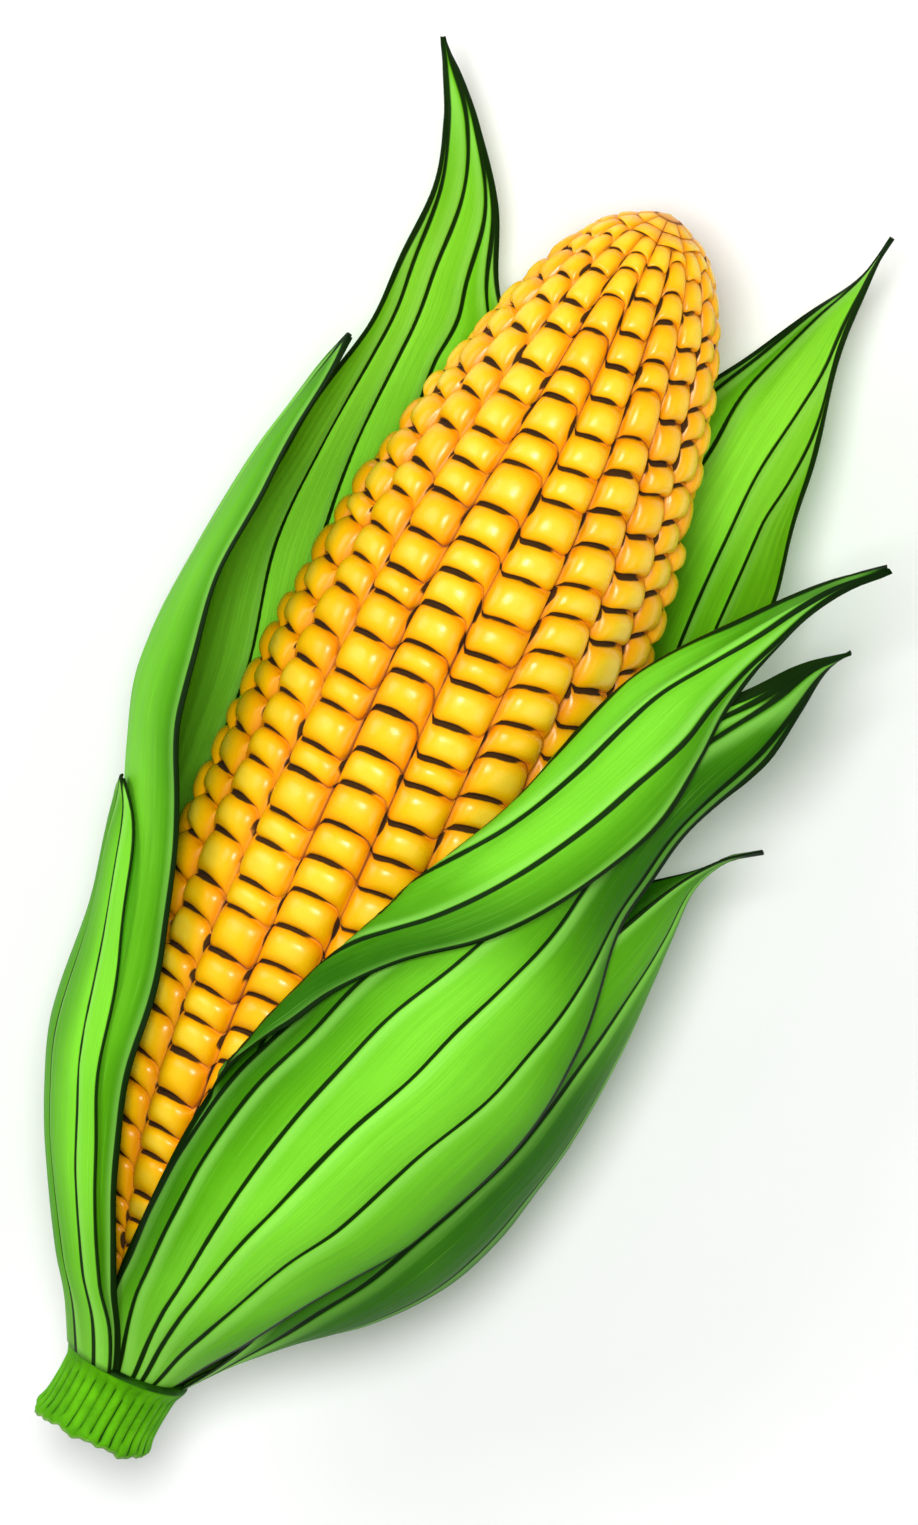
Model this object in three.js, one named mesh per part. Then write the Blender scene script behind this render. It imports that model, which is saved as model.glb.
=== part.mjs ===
// Ear of sweetcorn in its opened green husk, lying on its back.
// Millimetres, +Z up. The ear's axis runs along +Y, from the cut stem to the tip of the cob.
// The origin is the middle of the flat patch on which the underside leaf rests.
import * as THREE from 'three';

// Driving dimensions -------------------------------------------------------------------------------

const AXIS_HEIGHT = 34;          // ear's axis above the table
const NECK_TO_ORIGIN = 85;       // along the axis, from the neck where the husk starts to the origin
const NECK_LEAN = 1.2;           // how far the neck leans to the left of the straight axis
const LEAN_END = 30;             // distance from the neck where the lean has died out
const COB_BOW = 0.9;             // how far the cob's tip bows to the right
const BOW_START = 115;           // distance from the neck where the bow starts
const KERNEL_ROWS = 18;          // kernels around the cob
const KERNEL_PITCH = 5;          // kernel size along the cob
const GROOVE_DEPTH = 1.1;        // furrow between kernels, below their crowns
const GROOVE_SHARE = 0.12;       // its depth where the cob is thin, as a share of the cob's radius
const CAP_KERNELS = 3;           // rings of small kernels over the rounded tip
const CAP_PITCH = 2.75;          // size of those kernels along the cob
const TIP_RISE = 0.5;            // middle of the tip, beyond its last ring of kernels
const STEM_RIBS = 32;
const STEM_RIB_HEIGHT = 0.45;
const CUT_MIDDLE = -9.6;         // middle of the stem's dished cut face, from the neck
const LEAF_THICKNESS = 0.8;      // along the middle of a husk leaf
const LEAF_EDGE_THICKNESS = 0.5; // at its margins and at the neck
const NECK_LENGTH = 12;          // over which a leaf grows from its thin base to full thickness
const LEAF_STEP = 7.5;           // facet length along a leaf
const LEAF_TURN = 13;            // facet angle around the ear, degrees
const UNROLLED_STRIP = 1.5;      // width, beside the fold, that lies straight on until the leaf rolls
const FLAP_FACETS = 5;           // across the folded leaf: its free flap,
const FOLD_FACETS = 4;           // the fold,
const INNER_FACETS = 5;          // and the part that lies on the cob
const COB_LOOK = { color: 0xffc61a, roughness: 0.35 };
const STEM_LOOK = { color: 0x62b81e, roughness: 0.55 };
const LEAF_ROUGHNESS = 0.5;

// Cob radius, kernels included, by distance from the neck.
const COB_PROFILE = [
  [4, 3.4], [8, 7.2], [12, 10.2], [18, 14.2], [30, 20.2], [37, 22.6], [50, 25.2], [70, 26.6],
  [90, 26.8], [112, 26], [128, 24.3], [144, 21.3], [157, 18.1], [168, 14.4], [175, 10.8],
  [179.6, 6.8], [182, 2.4],
];

// Stem, from the rim of its cut end over the neck to the top of the woody core that carries the
// cob: distance from the neck, radius, and how much of the ribs' height is there.
const STEM_PROFILE = [
  [-9.9, 7.3, 0], [-10.5, 8.4, 0.6], [-9.5, 9.2, 1], [-5.25, 8.8, 1], [-2, 8.6, 1], [-0.7, 9, 0.5],
  [-0.2, 8.5, 0], [0, 4.1, 0], [3.7, 3.8, 0],
];

// Husk leaves. Angles are in degrees around the ear's axis, 0 straight up, positive to the right.
// A flat leaf's station: distance from the neck, left margin's angle and radius, right margin's
// angle and radius, and how far the middle stands out beyond the straight line between them.
const LEAVES = {
  husk_back_right: {
    color: 0x74c22c,
    stations: [
      [0.4, 46, 4.9, 168, 4.9, 0], [7, 47, 8.2, 168, 8.2, 0], [13, 47, 11.8, 168, 11.8, 0],
      [24, 47, 18.7, 168, 18.7, 0], [34, 48, 23, 168, 22.9, 0], [50, 54, 26.6, 168, 26.4, 0],
      [70, 66, 28.6, 168, 27.9, 0.4], [92, 75, 30.6, 168, 28.2, 0.6], [112, 84, 33.2, 168, 27.8, 0.8],
      [128, 92, 35.8, 168, 26.6, 0.8], [139, 98, 37.1, 165, 25.8, 0.6], [153, 104, 35.2, 152, 25.2, 0.4],
      [166, 109, 33.6, 136.3, 28.2, 0], [175, 113, 33, 127.4, 30.4, 0], [183, 114.5, 33.2, 120, 32.8, 0],
      [190, 115, 33.8, 116.6, 33.8, 0],
    ],
  },
  husk_back_left: {
    color: 0x6fbd2a,
    stations: [
      [0.4, -184, 5.7, -60, 5.7, 0], [7, -184, 9.1, -62, 9.1, 0], [13, -184, 12.8, -64, 12.8, 0],
      [24, -184, 19.6, -64, 19.6, 0], [34, -184, 23.7, -64, 24, 0], [50, -184, 27.5, -66, 27.8, 0],
      [70, -184, 28.8, -71, 29.8, 0.4], [92, -184, 29.2, -80, 33.4, 0.8], [112, -182, 28.8, -88, 36.2, 1],
      [130, -178, 27.4, -96, 34.9, 0.8], [147, -164, 25.6, -110, 33.4, 0.4],
      [158.7, -142, 26.6, -113, 33.6, 0], [169.8, -131.6, 28.6, -114.3, 34.2, 0],
      [179.5, -120.3, 32.7, -114, 37, 0],
      [185.5, -114, 37, -112, 39.4, 0], [189.5, -111, 41, -110, 41, 0],
    ],
  },
  husk_outer_right: {
    color: 0x79c430,
    stations: [
      [0.4, 72, 8.3, 168, 8.3, 0], [7, 64, 12.4, 168, 12.8, 0.8], [13, 58, 15.6, 168, 17.4, 3],
      [20, 50, 18.6, 167, 22.8, 7.4], [29, 48, 23.4, 166, 27.2, 9.8], [38, 48.5, 26.8, 164, 29.6, 11],
      [46, 51, 29.2, 161, 30.6, 11.4], [56, 54, 32.3, 155, 31.6, 11], [70, 58, 34, 144, 33.6, 9.6],
      [81, 63, 36, 130, 36.4, 7], [90, 70, 38, 116, 39.6, 4.4], [97, 80.5, 40.4, 105, 43.6, 1.6],
      [102, 88.5, 44.8, 98, 46.6, 0.4], [105, 93, 50, 94.5, 50, 0],
    ],
  },
  husk_front_right: {
    color: 0x86d23a,
    stations: [
      [0.4, -36, 7.45, 66, 7.45, 0], [7, -34, 11, 57, 12, 0], [13, -29, 14.6, 52, 16.8, 0.6],
      [19, -23, 18.6, 50, 21.2, 1], [29, -18, 24.6, 53, 27.2, 1.4], [38, -15.5, 27, 61, 32.6, 1.6],
      [52, -8.5, 29.4, 66, 37.6, 1.6], [62, -1.5, 30.8, 68.5, 40, 1.2], [72, 4.5, 31.6, 67, 40.6, 1],
      [82, 13.5, 31.8, 67, 40.2, 0.8], [92, 22.5, 31.9, 66.8, 39.4, 0.7], [99, 29, 31.8, 68, 40.2, 0.6],
      [106, 35.5, 31.6, 68, 41.8, 0.6], [113, 42.5, 31.6, 70, 44, 0.6], [118, 49.5, 32.6, 71, 46, 0.6],
      [122, 56, 35.4, 71.7, 47.3, 0.5], [129, 66, 41.4, 71.8, 48.6, 0.3], [136, 68.6, 47, 71.8, 49.6, 0],
      [140, 71.2, 51.4, 72.2, 51.4, 0],
    ],
  },
  husk_front_left: {
    color: 0x80cc34,
    stations: [
      [0.4, -182, 8.35, -5, 8.35, 0], [7, -182, 12, -16, 12, 0], [13, -182, 15.6, -24, 16, 0],
      [24, -180, 21.7, -30, 22.4, 0.1], [32, -178, 25.3, -33.5, 25.8, 0.1],
      [43, -176, 28.6, -36.5, 28.8, 0.6],
      [58, -173, 30, -40, 30.6, 0.8], [70, -168, 31, -45, 32, 1.6], [83, -160, 31.6, -51, 35.2, 3.8],
      [94, -150, 33, -55.5, 38.4, 4], [110, -134, 35, -62, 39.6, 2.2], [127, -118, 36.4, -66, 37.4, 1.2],
      [141, -100, 35.2, -73, 34.2, 0.4], [149, -84, 33, -81, 33, 0],
    ],
  },
  husk_outer_left: {
    color: 0x76c62e,
    stations: [
      [0.4, -104, 9.2, -11, 9.2, 0], [7, -106, 13.1, -21, 13.1, 0], [13, -109, 17.1, -31, 17.3, 0],
      [25, -114, 23.8, -38, 24, 0.3], [34, -117, 27.6, -42, 27.8, 0.3],
      [43, -118, 30.3, -46, 30.5, 0.5], [60, -112, 32.2, -53.5, 32.6, 0.6],
      [70, -100, 34.2, -59, 34.2, 0.9], [76, -86, 36.4, -64, 35.8, 0.5],
      [80, -73, 38, -70.5, 37.8, 0],
    ],
  },
  husk_underside: {
    color: 0x6ab528,
    stations: [
      [0.4, 170, 9.2, 250, 9.2, 0], [7, 170, 13.8, 247, 13.2, 0], [13, 170, 18, 244, 16.8, 0.6],
      [25, 169.5, 26, 239, 24.2, 1.4], [40, 166.5, 32, 234, 30.6, 2], [60, 161, 35.2, 230, 33, 2],
      [72, 155, 35.6, 226, 34.8, 1.2], [85, 151, 35.8, 216, 36.2, 0], [110, 153, 35.6, 208, 35.6, 0],
      [126, 164, 35, 198, 35, 0], [138, 178, 34.4, 182, 34.4, 0],
    ],
  },
};

// The inner front leaf, whose free margin rolls outwards over its neighbour. Each station: distance
// from the neck, inner margin's angle and radius, fold's angle and radius, how much of the half turn
// is made, and the free margin's angle and radius.
const FOLDED_LEAF = {
  color: 0x8ada40,
  stations: [
    [0.4, 40, 6.4, -16, 0.4, 0, -40, 6.4], [7, 42, 10, -21, 0.4, 0, -37, 10],
    [13, 42, 13.6, -21, 0.5, 0, -32, 13.6], [19, 42, 17.4, -17, 0.6, 0, -26.5, 17.4],
    [26.7, 42, 21.6, -12.5, 0.8, 0, -21, 21.6], [38.7, 42, 25, -10.5, 1.2, 0, -17.5, 25.2],
    [46, 43, 26.8, -8.5, 1.6, 0.15, -14.5, 27.4],
    [52, 44, 27.7, -7.8, 1.8, 0.5, -10.6, 31], [57, 45, 28.3, -5.6, 1.9, 0.9, -6.8, 33.2],
    [63, 46, 28.8, -2.6, 1.9, 1, 0, 33.9], [70, 47, 29.2, 2.2, 1.9, 1, 6, 34.8],
    [78, 50, 29.6, 8.3, 1.9, 1, 17, 36.4], [85, 53, 29.8, 14.7, 1.9, 1, 30.4, 38.3],
    [94, 56, 29.9, 22.7, 1.9, 1, 42.6, 40.2], [103, 58, 29.7, 31.3, 1.9, 1, 51.6, 41.4],
    [110, 59, 29.5, 37.3, 1.9, 1, 56.5, 42.1], [119, 60, 29.8, 45, 1.8, 1, 60, 42.3],
    [126, 61, 31.8, 49.7, 1.6, 1, 60.5, 42.3], [132.6, 61.5, 35.4, 53.6, 1.4, 1, 61, 43.2],
    [138, 62, 38.8, 57, 1.1, 1, 61.5, 45], [144, 63, 43.2, 60, 0.8, 1, 62, 47.4],
    [150, 64.3, 48.4, 62.6, 0.5, 1, 63.6, 50.6], [154, 66.2, 53, 65.4, 0.3, 1, 65.6, 54],
  ],
};

// Shared geometry -----------------------------------------------------------------------------------

// Point at a polar place around the ear's axis, in the part's own frame.
function earPoint(angle, radius, distance) {
  const turn = THREE.MathUtils.degToRad(angle);
  const lean = NECK_LEAN * Math.max(0, 1 - distance / LEAN_END) ** 2;
  return new THREE.Vector3(
    radius * Math.sin(turn) - lean,
    distance - NECK_TO_ORIGIN,
    AXIS_HEIGHT + radius * Math.cos(turn),
  );
}

// Smooth curve through stations [distance, value, value, ...]: a cubic with matched slopes.
function smoothThrough(stations, distance) {
  const last = stations.length - 1;
  const slope = (k, c) => {
    const before = stations[Math.max(k - 1, 0)];
    const after = stations[Math.min(k + 1, last)];
    return (after[c] - before[c]) / (after[0] - before[0]);
  };
  let k = 0;
  while (k < last - 1 && distance > stations[k + 1][0]) k += 1;
  const [from, to] = [stations[k], stations[k + 1]];
  const span = to[0] - from[0];
  const t = THREE.MathUtils.clamp((distance - from[0]) / span, 0, 1);
  const [t2, t3] = [t * t, t * t * t];
  return from.slice(1).map((value, i) => {
    const c = i + 1;
    return (2 * t3 - 3 * t2 + 1) * value + (t3 - 2 * t2 + t) * span * slope(k, c)
      + (3 * t2 - 2 * t3) * to[c] + (t3 - t2) * span * slope(k + 1, c);
  });
}

// Distances at which a leaf is cut into facets: even steps from base to tip.
function facetDistances(stations) {
  const [start, end] = [stations[0][0], stations[stations.length - 1][0]];
  const steps = Math.ceil((end - start) / LEAF_STEP);
  return Array.from({ length: steps + 1 }, (_, i) => start + ((end - start) * i) / steps);
}

function triangleGeometry(points, triangles) {
  const geometry = new THREE.BufferGeometry();
  const coordinates = points.flatMap((point) => point.toArray());
  geometry.setAttribute('position', new THREE.Float32BufferAttribute(coordinates, 3));
  geometry.setIndex(triangles.flat());
  geometry.computeVertexNormals();
  return geometry;
}

// Closed sheet between two grids of points of the same size, an outer and an inner one.
function sheetGeometry(outer, inner) {
  const [rows, columns] = [outer.length, outer[0].length];
  const count = rows * columns;
  const at = (i, j) => i * columns + j;
  const triangles = [];
  for (let i = 0; i < rows - 1; i += 1) {
    for (let j = 0; j < columns - 1; j += 1) {
      const [a, b, c, d] = [at(i, j), at(i, j + 1), at(i + 1, j + 1), at(i + 1, j)];
      triangles.push([a, b, c], [a, c, d]);
      triangles.push([count + a, count + c, count + b], [count + a, count + d, count + c]);
    }
  }
  const rim = [];
  for (let j = 0; j < columns - 1; j += 1) rim.push(at(0, j));
  for (let i = 0; i < rows - 1; i += 1) rim.push(at(i, columns - 1));
  for (let j = columns - 1; j > 0; j -= 1) rim.push(at(rows - 1, j));
  for (let i = rows - 1; i > 0; i -= 1) rim.push(at(i, 0));
  rim.forEach((p, k) => {
    const q = rim[(k + 1) % rim.length];
    triangles.push([q, p, count + p], [q, count + p, count + q]);
  });
  return triangleGeometry([...outer.flat(), ...inner.flat()], triangles);
}

// Arch across a leaf: 0 at both margins, 1 halfway between them.
function arch(across) {
  return 4 * across * (1 - across);
}

// Leaf thickness: thin at the margins and at the neck.
function leafThickness(distance, across) {
  const grown = THREE.MathUtils.smoothstep(distance, 0, NECK_LENGTH);
  return LEAF_EDGE_THICKNESS + (LEAF_THICKNESS - LEAF_EDGE_THICKNESS) * grown * arch(across);
}

// Solid leaf around a grid of points on its middle surface, rows along the ear. Where the leaf
// reaches the table it is pressed flat: its outer face on the table, its inner one above that.
function leafGeometry(middle, distances) {
  const last = { row: middle.length - 1, column: middle[0].length - 1 };
  const side = (sign) => middle.map((row, i) => row.map((point, j) => {
    const along = middle[Math.min(i + 1, last.row)][j].clone().sub(middle[Math.max(i - 1, 0)][j]);
    const around = row[Math.min(j + 1, last.column)].clone().sub(row[Math.max(j - 1, 0)]);
    const normal = around.cross(along).normalize();
    const half = leafThickness(distances[i], j / last.column) / 2;
    const moved = point.clone().addScaledVector(normal, sign * half);
    moved.z = Math.max(moved.z, sign > 0 ? 0 : 2 * half);
    return moved;
  }));
  return sheetGeometry(side(1), side(-1));
}

// Sub-parts -------------------------------------------------------------------------------------------

function flatLeaf(stations) {
  const distances = facetDistances(stations);
  const widest = Math.max(...stations.map((station) => station[3] - station[1]));
  const columns = Math.ceil(widest / LEAF_TURN);
  const middle = distances.map((distance) => {
    const [left, leftRadius, right, rightRadius, bulge] = smoothThrough(stations, distance);
    return Array.from({ length: columns + 1 }, (_, j) => {
      const t = j / columns;
      const radius = leftRadius + (rightRadius - leftRadius) * t + arch(t) * bulge;
      return earPoint(left + (right - left) * t, radius, distance);
    });
  });
  return leafGeometry(middle, distances);
}

// Section of the folded leaf, from its free margin back round the fold to its inner margin.
function foldedSection(station, distance) {
  const [inner, innerRadius, fold, foldRadius, rolled, margin, marginRadius] = station;
  const foldTurn = THREE.MathUtils.degToRad(fold);
  const onFold = (v) => {
    const turn = Math.PI * rolled * v;
    const out = innerRadius + foldRadius * (1 - Math.cos(turn));
    const sideways = -foldRadius * Math.sin(turn) - (1 - rolled) * UNROLLED_STRIP * v;
    return [foldTurn + Math.atan2(sideways, out), Math.hypot(out, sideways)];
  };
  const [flapTurn, flapRadius] = onFold(1);
  const places = [];
  for (let k = FLAP_FACETS; k > 0; k -= 1) {
    const t = k / FLAP_FACETS;
    const angle = flapTurn + (THREE.MathUtils.degToRad(margin) - flapTurn) * t;
    places.push([angle, flapRadius + (marginRadius - flapRadius) * THREE.MathUtils.smoothstep(t, 0, 1)]);
  }
  for (let k = FOLD_FACETS; k > 0; k -= 1) places.push(onFold(k / FOLD_FACETS));
  for (let k = 0; k <= INNER_FACETS; k += 1) {
    const angle = foldTurn + (THREE.MathUtils.degToRad(inner) - foldTurn) * (k / INNER_FACETS);
    places.push([angle, innerRadius]);
  }
  return places.map(([turn, radius]) => earPoint(THREE.MathUtils.radToDeg(turn), radius, distance));
}

function foldedLeaf(stations) {
  const distances = facetDistances(stations);
  const middle = distances.map((distance) => foldedSection(smoothThrough(stations, distance), distance));
  return leafGeometry(middle, distances);
}

// Cob: rings of furrow corners, and one raised crown in the middle of each kernel.
function cobGeometry() {
  const end = COB_PROFILE[COB_PROFILE.length - 1][0];
  const start = COB_PROFILE[0][0];
  const bodyEnd = end - CAP_KERNELS * CAP_PITCH;
  const bodyRings = Math.round((bodyEnd - start) / KERNEL_PITCH);
  const bodyPitch = (bodyEnd - start) / bodyRings;
  const distances = Array.from({ length: bodyRings + 1 }, (_, i) => start + bodyPitch * i);
  for (let i = 1; i <= CAP_KERNELS; i += 1) distances.push(bodyEnd + CAP_PITCH * i);
  const radiusAt = (distance) => smoothThrough(COB_PROFILE, distance)[0];
  const depthAt = (distance) => Math.min(GROOVE_DEPTH, GROOVE_SHARE * radiusAt(distance));
  const turn = 360 / KERNEL_ROWS;
  const cobPoint = (angle, radius, distance) => {
    const point = earPoint(angle, radius, distance);
    point.x += COB_BOW * THREE.MathUtils.smoothstep(distance, BOW_START, end);
    return point;
  };
  const points = [];
  distances.forEach((distance) => {
    for (let j = 0; j < KERNEL_ROWS; j += 1) {
      points.push(cobPoint(j * turn, radiusAt(distance) - depthAt(distance), distance));
    }
  });
  const rings = distances.length;
  const corner = (i, j) => i * KERNEL_ROWS + (j % KERNEL_ROWS);
  const triangles = [];
  for (let i = 0; i < rings - 1; i += 1) {
    const middle = (distances[i] + distances[i + 1]) / 2;
    for (let j = 0; j < KERNEL_ROWS; j += 1) {
      const crown = points.push(cobPoint((j + 0.5) * turn, radiusAt(middle), middle)) - 1;
      const [a, b, c, d] = [corner(i, j), corner(i, j + 1), corner(i + 1, j + 1), corner(i + 1, j)];
      triangles.push([a, b, crown], [b, c, crown], [c, d, crown], [d, a, crown]);
    }
  }
  const base = points.push(cobPoint(0, 0, start)) - 1;
  const tip = points.push(cobPoint(0, 0, end + TIP_RISE)) - 1;
  for (let j = 0; j < KERNEL_ROWS; j += 1) {
    triangles.push([corner(0, j + 1), corner(0, j), base]);
    triangles.push([corner(rings - 1, j), corner(rings - 1, j + 1), tip]);
  }
  return triangleGeometry(points, triangles);
}

// Cut stem: a short ribbed cylinder, flared at the cut and rounded in to the neck, with the
// woody core standing in its middle.
function stemGeometry() {
  const columns = STEM_RIBS * 4;
  const points = [];
  STEM_PROFILE.forEach(([distance, radius, ribbing]) => {
    for (let j = 0; j < columns; j += 1) {
      const wave = Math.abs(Math.sin((Math.PI * STEM_RIBS * j) / columns));
      const ribbed = radius - ribbing * STEM_RIB_HEIGHT * (1 - wave);
      points.push(earPoint((360 * j) / columns, ribbed, distance));
    }
  });
  const last = STEM_PROFILE.length - 1;
  const triangles = [];
  const at = (i, j) => i * columns + (j % columns);
  for (let i = 0; i < last; i += 1) {
    for (let j = 0; j < columns; j += 1) {
      const [a, b, c, d] = [at(i, j), at(i, j + 1), at(i + 1, j + 1), at(i + 1, j)];
      triangles.push([a, b, c], [a, c, d]);
    }
  }
  const cut = points.push(earPoint(0, 0, CUT_MIDDLE)) - 1;
  const top = points.push(earPoint(0, 0, STEM_PROFILE[last][0])) - 1;
  for (let j = 0; j < columns; j += 1) {
    triangles.push([at(0, j + 1), at(0, j), cut]);
    triangles.push([at(last, j), at(last, j + 1), top]);
  }
  return triangleGeometry(points, triangles);
}

// Assembly ---------------------------------------------------------------------------------------------

const ear = new THREE.Group();

function add(name, geometry, { color, roughness }) {
  const material = new THREE.MeshStandardMaterial({ color, roughness, metalness: 0 });
  const mesh = new THREE.Mesh(geometry, material);
  mesh.name = name;
  ear.add(mesh);
}

add('cob', cobGeometry(), COB_LOOK);
add('stem', stemGeometry(), STEM_LOOK);
add('husk_folded', foldedLeaf(FOLDED_LEAF.stations), { color: FOLDED_LEAF.color, roughness: LEAF_ROUGHNESS });
Object.entries(LEAVES).forEach(([name, { color, stations }]) => {
  add(name, flatLeaf(stations), { color, roughness: LEAF_ROUGHNESS });
});

export default ear;
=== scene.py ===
import math

import bpy
import numpy as np
from mathutils import Matrix, Vector


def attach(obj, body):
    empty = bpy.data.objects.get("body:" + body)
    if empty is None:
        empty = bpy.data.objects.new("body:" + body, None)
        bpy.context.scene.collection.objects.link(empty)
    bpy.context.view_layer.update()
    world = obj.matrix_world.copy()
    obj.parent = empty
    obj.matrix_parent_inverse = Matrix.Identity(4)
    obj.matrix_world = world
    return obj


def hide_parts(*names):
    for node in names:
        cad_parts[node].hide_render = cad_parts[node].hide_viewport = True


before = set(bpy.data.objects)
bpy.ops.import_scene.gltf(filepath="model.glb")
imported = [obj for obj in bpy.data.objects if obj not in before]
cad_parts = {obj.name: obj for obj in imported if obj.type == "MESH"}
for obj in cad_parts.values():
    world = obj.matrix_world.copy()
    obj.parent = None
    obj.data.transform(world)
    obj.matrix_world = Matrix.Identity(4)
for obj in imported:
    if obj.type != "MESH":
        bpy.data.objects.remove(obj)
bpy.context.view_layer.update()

# An ear of sweetcorn in its opened husk, lying on its back. Sizes are in millimetres and angles in
# degrees until a mesh is made; Blender's scene is in metres.

MM = 0.001
RANDOM_SEED = 7

# The ear's axis, along +Y -----------------------

AXIS_HEIGHT = 34          # above the table
NECK_TO_ORIGIN = 85       # from the neck, where the husk starts, to the origin
NECK_LEAN = 1.2           # how far the neck leans to the left
LEAN_END = 30
COB_BOW = 0.9             # how far the cob's tip bows to the right
BOW_START = 115

# Shapes -----------------------------------------
# Husk leaves. A station: distance from the neck, left margin's angle and radius, right margin's angle
# and radius, and the bulge of the middle. Angles are around the ear's axis, 0 straight up, positive
# to the right.

LEAVES = {
    "husk_back_right": [
        (0.4, 46, 4.9, 168, 4.9, 0), (7, 47, 8.2, 168, 8.2, 0), (13, 47, 11.8, 168, 11.8, 0),
        (24, 47, 18.7, 168, 18.7, 0), (34, 48, 23, 168, 22.9, 0), (50, 54, 26.6, 168, 26.4, 0),
        (70, 66, 28.6, 168, 27.9, 0.4), (92, 75, 30.6, 168, 28.2, 0.6), (112, 84, 33.2, 168, 27.8, 0.8),
        (128, 92, 35.8, 168, 26.6, 0.8), (139, 98, 37.1, 165, 25.8, 0.6), (153, 104, 35.2, 152, 25.2, 0.4),
        (166, 109, 33.6, 136.3, 28.2, 0), (175, 113, 33, 127.4, 30.4, 0), (183, 114.5, 33.2, 120, 32.8, 0),
        (190, 115, 33.8, 116.6, 33.8, 0),
    ],
    "husk_back_left": [
        (0.4, -184, 5.7, -60, 5.7, 0), (7, -184, 9.1, -62, 9.1, 0), (13, -184, 12.8, -64, 12.8, 0),
        (24, -184, 19.6, -64, 19.6, 0), (34, -184, 23.7, -64, 24, 0), (50, -184, 27.5, -66, 27.8, 0),
        (70, -184, 28.8, -71, 29.8, 0.4), (92, -184, 29.2, -80, 33.4, 0.8), (112, -182, 28.8, -88, 36.2, 1),
        (130, -178, 27.4, -96, 34.9, 0.8), (147, -164, 25.6, -110, 33.4, 0.4),
        (158.7, -142, 26.6, -113, 33.6, 0), (169.8, -131.6, 28.6, -114.3, 34.2, 0),
        (179.5, -120.3, 32.7, -114, 37, 0), (185.5, -114, 37, -112, 39.4, 0), (189.5, -111, 41, -110, 41, 0),
    ],
    "husk_outer_right": [
        (0.4, 72, 8.3, 168, 8.3, 0), (7, 64, 12.4, 168, 12.8, 0.8), (13, 58, 15.6, 168, 17.4, 3),
        (20, 50, 18.6, 167, 22.8, 7.4), (29, 48, 23.4, 166, 27.2, 9.8), (38, 48.5, 26.8, 164, 29.6, 11),
        (46, 51, 29.2, 161, 30.6, 11.4), (56, 54, 32.3, 155, 31.6, 11), (70, 58, 34, 144, 33.6, 9.6),
        (81, 63, 36, 130, 36.4, 7), (90, 70, 38, 116, 39.6, 4.4), (97, 80.5, 40.4, 105, 43.6, 1.6),
        (102, 88.5, 44.8, 98, 46.6, 0.4), (105, 93, 50, 94.5, 50, 0),
    ],
    "husk_front_right": [
        (0.4, -36, 7.45, 66, 7.45, 0), (7, -34, 11, 57, 12, 0), (13, -29, 14.6, 52, 16.8, 0.6),
        (19, -23, 18.6, 50, 21.2, 1), (29, -18, 24.6, 53, 27.2, 1.4), (38, -15.5, 27, 61, 32.6, 1.6),
        (52, -8.5, 29.4, 66, 37.6, 1.6), (62, -1.5, 30.8, 68.5, 40, 1.2), (72, 4.5, 31.6, 67, 40.6, 1),
        (82, 13.5, 31.8, 67, 40.2, 0.8), (92, 22.5, 31.9, 66.8, 39.4, 0.7), (99, 29, 31.8, 68, 40.2, 0.6),
        (106, 35.5, 31.6, 68, 41.8, 0.6), (113, 42.5, 31.6, 70, 44, 0.6), (118, 49.5, 32.6, 71, 46, 0.6),
        (122, 56, 35.4, 71.7, 47.3, 0.5), (129, 66, 41.4, 71.8, 48.6, 0.3), (136, 68.6, 47, 71.8, 49.6, 0),
        (140, 71.2, 51.4, 72.2, 51.4, 0),
    ],
    "husk_front_left": [
        (0.4, -182, 8.35, -5, 8.35, 0), (7, -182, 12, -16, 12, 0), (13, -182, 15.6, -24, 16, 0),
        (24, -180, 21.7, -30, 22.4, 0.1), (32, -178, 25.3, -33.5, 25.8, 0.1),
        (43, -176, 28.6, -36.5, 28.8, 0.6), (58, -173, 30, -40, 30.6, 0.8), (70, -168, 31, -45, 32, 1.6),
        (83, -160, 31.6, -51, 35.2, 3.8), (94, -150, 33, -55.5, 38.4, 4), (110, -134, 35, -62, 39.6, 2.2),
        (127, -118, 36.4, -66, 37.4, 1.2), (141, -100, 35.2, -73, 34.2, 0.4), (149, -84, 33, -81, 33, 0),
    ],
    "husk_outer_left": [
        (0.4, -104, 9.2, -11, 9.2, 0), (7, -106, 13.1, -21, 13.1, 0), (13, -109, 17.1, -31, 17.3, 0),
        (25, -114, 23.8, -38, 24, 0.3), (34, -117, 27.6, -42, 27.8, 0.3),
        (43, -118, 30.3, -46, 30.5, 0.5), (60, -112, 32.2, -53.5, 32.6, 0.6),
        (70, -100, 34.2, -59, 34.2, 0.9), (76, -86, 36.4, -64, 35.8, 0.5),
        (80, -73, 38, -70.5, 37.8, 0),
    ],
    "husk_underside": [
        (0.4, 170, 9.2, 250, 9.2, 0), (7, 170, 13.8, 247, 13.2, 0), (13, 170, 18, 244, 16.8, 0.6),
        (25, 169.5, 26, 239, 24.2, 1.4), (40, 166.5, 32, 234, 30.6, 2), (60, 161, 35.2, 230, 33, 2),
        (72, 155, 35.6, 226, 34.8, 1.2), (85, 151, 35.8, 216, 36.2, 0), (110, 153, 35.6, 208, 35.6, 0),
        (126, 164, 35, 198, 35, 0), (138, 178, 34.4, 182, 34.4, 0),
    ],
}

# The inner front leaf, its free margin rolled outwards over its neighbour. A station: distance from
# the neck, inner margin's angle and radius, fold's angle and radius, share of the half turn that is
# made, and the free margin's angle and radius.

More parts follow.
